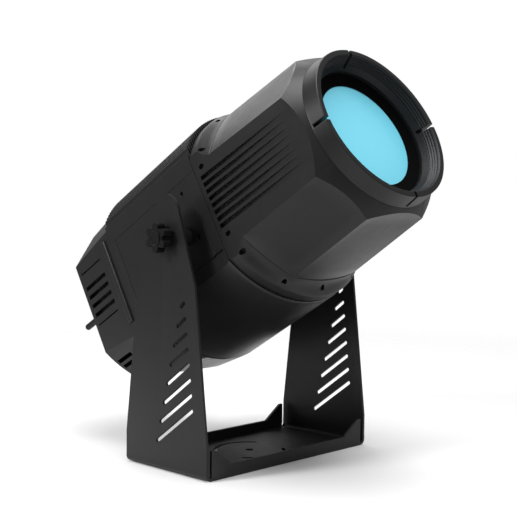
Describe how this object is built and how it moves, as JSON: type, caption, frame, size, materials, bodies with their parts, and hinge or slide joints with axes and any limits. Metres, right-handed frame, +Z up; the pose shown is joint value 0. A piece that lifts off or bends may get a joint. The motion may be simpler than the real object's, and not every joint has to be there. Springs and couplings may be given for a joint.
{
  "type": "gobo projector",
  "caption": "Outdoor LED gobo projector: finned black head with a slotted hood, tilting in a slotted U yoke held by star knobs.",
  "frame": {"origin": "on the mounting surface, under the middle of the bounding box", "axes": "+Z up, the beam leaves towards -Y and up, +X along the tilt axis"},
  "size_m": [0.4046, 0.6288, 0.6237],
  "materials": {
    "coat": "matte black powder coat",
    "casting": "matte black powder coat on die-cast aluminium",
    "plastic": "matte",
    "black_steel": "black oxide",
    "steel": "ground",
    "aluminium": "satin",
    "glass": "coated",
    "rubber": "matte",
    "ceramic": "matte",
    "board": "solder mask",
    "brass": "machined"
  },
  "bodies": {
    "base": {"yoke": "coat", "left_friction_washer": "plastic", "right_friction_washer": "plastic"},
    "head": {"body_housing": "casting", "top_heatsink": "casting", "left_side_cover": "casting", "right_side_cover": "casting", "left_pivot_boss": "casting", "right_pivot_boss": "casting", "barrel_housing": "casting", "collar_screw_01": "black_steel", "collar_screw_02": "black_steel", "collar_screw_03": "black_steel", "collar_screw_04": "black_steel", "collar_screw_05": "black_steel", "collar_screw_06": "black_steel", "collar_screw_07": "black_steel", "collar_screw_08": "black_steel", "collar_screw_09": "black_steel", "collar_screw_10": "black_steel", "collar_screw_11": "black_steel", "collar_screw_12": "black_steel", "collar_screw_13": "black_steel", "collar_screw_14": "black_steel", "cover_screw_01": "black_steel", "cover_screw_02": "black_steel", "cover_screw_03": "black_steel", "cover_screw_04": "black_steel", "hood": "casting", "lens_ring": "plastic", "front_lens": "glass", "lens_gasket": "rubber", "rear_cap": "casting", "stub_antenna": "plastic", "power_gland": "plastic", "chassis_plate": "aluminium", "heat_spreader": "aluminium", "led_module": "ceramic", "condenser_tube": "plastic", "condenser_lens": "glass", "gobo_stage": "aluminium", "gobo_motor": "black_steel", "focus_motor": "black_steel", "guide_rod_left": "steel", "guide_rod_right": "steel", "front_bracket": "aluminium", "fan_frame": "plastic", "driver_box": "aluminium", "control_board": "board"},
    "left_grip": {"left_knob": "plastic"},
    "right_grip": {"right_knob": "plastic"},
    "gobo_wheel": {"gobo_ring_gear": "brass", "gobo_disc": "steel"},
    "gobo_drive": {"gobo_pinion": "brass"},
    "carriage": {"focus_carriage": "plastic", "focus_lens": "glass"},
    "lead_screw": {"focus_screw": "steel"},
    "fan": {"fan_rotor": "plastic"}
  },
  "joints": [
    {"name": "head_tilt", "type": "hinge", "parent": "base", "child": "head", "pos_m": [0, 0.00792, 0.349], "axis": [-1, 0, 0], "range_deg": [-76, 59]},
    {"name": "left_knob_turn", "type": "hinge", "parent": "base", "child": "left_grip", "pos_m": [-0.19, 0.00792, 0.349], "axis": [-1, 0, 0], "range_deg": [0, 360]},
    {"name": "right_knob_turn", "type": "hinge", "parent": "base", "child": "right_grip", "pos_m": [0.19, 0.00792, 0.349], "axis": [1, 0, 0], "range_deg": [0, 360]},
    {"name": "gobo_spin", "type": "hinge", "parent": "head", "child": "gobo_wheel", "pos_m": [0, 0.0141, 0.35929], "axis": [0, -0.8572, 0.515], "continuous": true},
    {"name": "gobo_pinion_spin", "type": "hinge", "parent": "head", "child": "gobo_drive", "pos_m": [0.03818, 0.05091, 0.38172], "axis": [0, -0.8572, 0.515], "continuous": true},
    {"name": "focus_slide", "type": "slide", "parent": "head", "child": "carriage", "axis": [0, -0.8572, 0.515], "range_m": [-0.045, 0.045]},
    {"name": "focus_screw_turn", "type": "hinge", "parent": "head", "child": "lead_screw", "pos_m": [0, -0.11281, 0.34224], "axis": [0, -0.8572, 0.515], "range_deg": [-2030, 2030]},
    {"name": "fan_spin", "type": "hinge", "parent": "head", "child": "fan", "pos_m": [0, 0.14096, 0.28306], "axis": [0, -0.8572, 0.515], "continuous": true}
  ],
  "couplings": [
    {"joint": "gobo_pinion_spin", "follows": "gobo_spin", "ratio": -5},
    {"joint": "focus_screw_turn", "follows": "focus_slide", "rad_per_m": 785.4}
  ]
}
